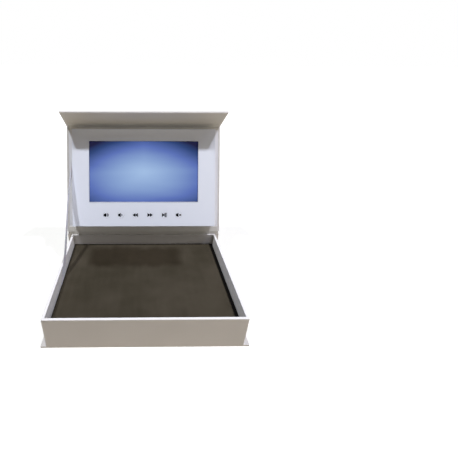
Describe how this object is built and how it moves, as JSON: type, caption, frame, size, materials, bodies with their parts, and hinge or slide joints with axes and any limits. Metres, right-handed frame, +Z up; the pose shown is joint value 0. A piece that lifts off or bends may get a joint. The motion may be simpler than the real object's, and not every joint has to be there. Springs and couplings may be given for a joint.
{
  "type": "lcd video brochure",
  "caption": "Rigid paper-covered gift box with a magnetic flap lid that holds a video screen with printed keys over a velvet-padded tray.",
  "frame": {"origin": "centre of the base board's underside", "axes": "+X along the box's width to the right seen from the front, +Y to the lid's hinge, +Z up; the lid and the flap stand open at rest"},
  "size_m": [0.224, 0.2162, 0.215],
  "materials": {
    "wrap_paper": "satin",
    "liner_paper": "matte",
    "grey_board": "matte",
    "kraft_tape": "matte",
    "velvet": "matte",
    "foam": "matte",
    "ribbon": "satin",
    "nickel": "polished",
    "steel_sheet": "satin",
    "screen_glass": "gloss",
    "clear_glass": "gloss",
    "white_plastic": "matte",
    "black_plastic": "matte",
    "gasket_rubber": "matte",
    "solder_mask": "satin",
    "amber_film": "satin",
    "cable_white": "satin",
    "lead_red": "satin",
    "foil_pouch": "satin",
    "speaker_metal": "satin",
    "cone_paper": "matte"
  },
  "bodies": {
    "case": {"base_board": "grey_board", "spine_board": "grey_board", "base_wrap": "wrap_paper", "tray_floor_board": "grey_board", "tray_front_board": "grey_board", "tray_back_board": "grey_board", "tray_left_board": "grey_board", "tray_right_board": "grey_board", "tray_corner_tapes": "kraft_tape", "tray_wrap": "wrap_paper", "tray_floor_liner": "liner_paper", "closing_plates": "steel_sheet", "pad_foam": "foam", "pad_velvet_cover": "velvet", "trigger_magnet": "nickel", "stay_ribbon": "ribbon", "lid_hinge_paper": "liner_paper"},
    "lid": {"lid_board": "grey_board", "lid_wrap": "wrap_paper", "lid_liner": "liner_paper", "fold_hinge_paper": "liner_paper", "housing_face_board": "grey_board", "housing_face_wrap": "wrap_paper", "housing_bottom_wall": "grey_board", "housing_top_wall": "grey_board", "housing_left_wall": "grey_board", "housing_right_wall": "grey_board", "panel_glass": "screen_glass", "panel_shell": "white_plastic", "panel_bezel": "steel_sheet", "panel_gasket": "gasket_rubber", "panel_flex_cable": "amber_film", "foam_carrier": "foam", "main_board": "solder_mask", "processor_chip": "black_plastic", "memory_chip": "black_plastic", "lead_connectors": "white_plastic", "flat_cable_sockets": "white_plastic", "battery": "foil_pouch", "battery_leads": "lead_red", "speaker_frame": "speaker_metal", "speaker_cone": "cone_paper", "speaker_leads": "lead_red", "usb_shell": "steel_sheet", "usb_tongue": "black_plastic", "key_board": "solder_mask", "key_switches": "black_plastic", "key_cable": "cable_white", "reed_switch": "clear_glass"},
    "flap": {"flap_board": "grey_board", "flap_wrap": "wrap_paper", "flap_liner": "liner_paper", "flap_magnets": "nickel"},
    "volume_up_key": {"key_volume_up": "wrap_paper"},
    "volume_down_key": {"key_volume_down": "wrap_paper"},
    "rewind_key": {"key_rewind": "wrap_paper"},
    "forward_key": {"key_forward": "wrap_paper"},
    "play_pause_key": {"key_play_pause": "wrap_paper"},
    "mute_key": {"key_mute": "wrap_paper"}
  },
  "joints": [
    {"name": "lid_hinge", "type": "hinge", "parent": "case", "child": "lid", "pos_m": [0, 0.07645, 0.0448], "axis": [1, 0, 0], "range_deg": [0, 114], "deforming": ["stay_ribbon", "lid_hinge_paper"]},
    {"name": "flap_fold", "type": "hinge", "parent": "lid", "child": "flap", "pos_m": [0, 0.13982, 0.18713], "axis": [1, 0, 0], "range_deg": [-75, 15], "deforming": ["fold_hinge_paper"]},
    {"name": "volume_up_press", "type": "slide", "parent": "lid", "child": "volume_up_key", "axis": [0, 0.9135, -0.4067], "range_m": [0, 0.0003], "stiffness_N_per_m": 3000},
    {"name": "volume_down_press", "type": "slide", "parent": "lid", "child": "volume_down_key", "axis": [0, 0.9135, -0.4067], "range_m": [0, 0.0003], "stiffness_N_per_m": 3000},
    {"name": "rewind_press", "type": "slide", "parent": "lid", "child": "rewind_key", "axis": [0, 0.9135, -0.4067], "range_m": [0, 0.0003], "stiffness_N_per_m": 3000},
    {"name": "forward_press", "type": "slide", "parent": "lid", "child": "forward_key", "axis": [0, 0.9135, -0.4067], "range_m": [0, 0.0003], "stiffness_N_per_m": 3000},
    {"name": "play_pause_press", "type": "slide", "parent": "lid", "child": "play_pause_key", "axis": [0, 0.9135, -0.4067], "range_m": [0, 0.0003], "stiffness_N_per_m": 3000},
    {"name": "mute_press", "type": "slide", "parent": "lid", "child": "mute_key", "axis": [0, 0.9135, -0.4067], "range_m": [0, 0.0003], "stiffness_N_per_m": 3000}
  ]
}
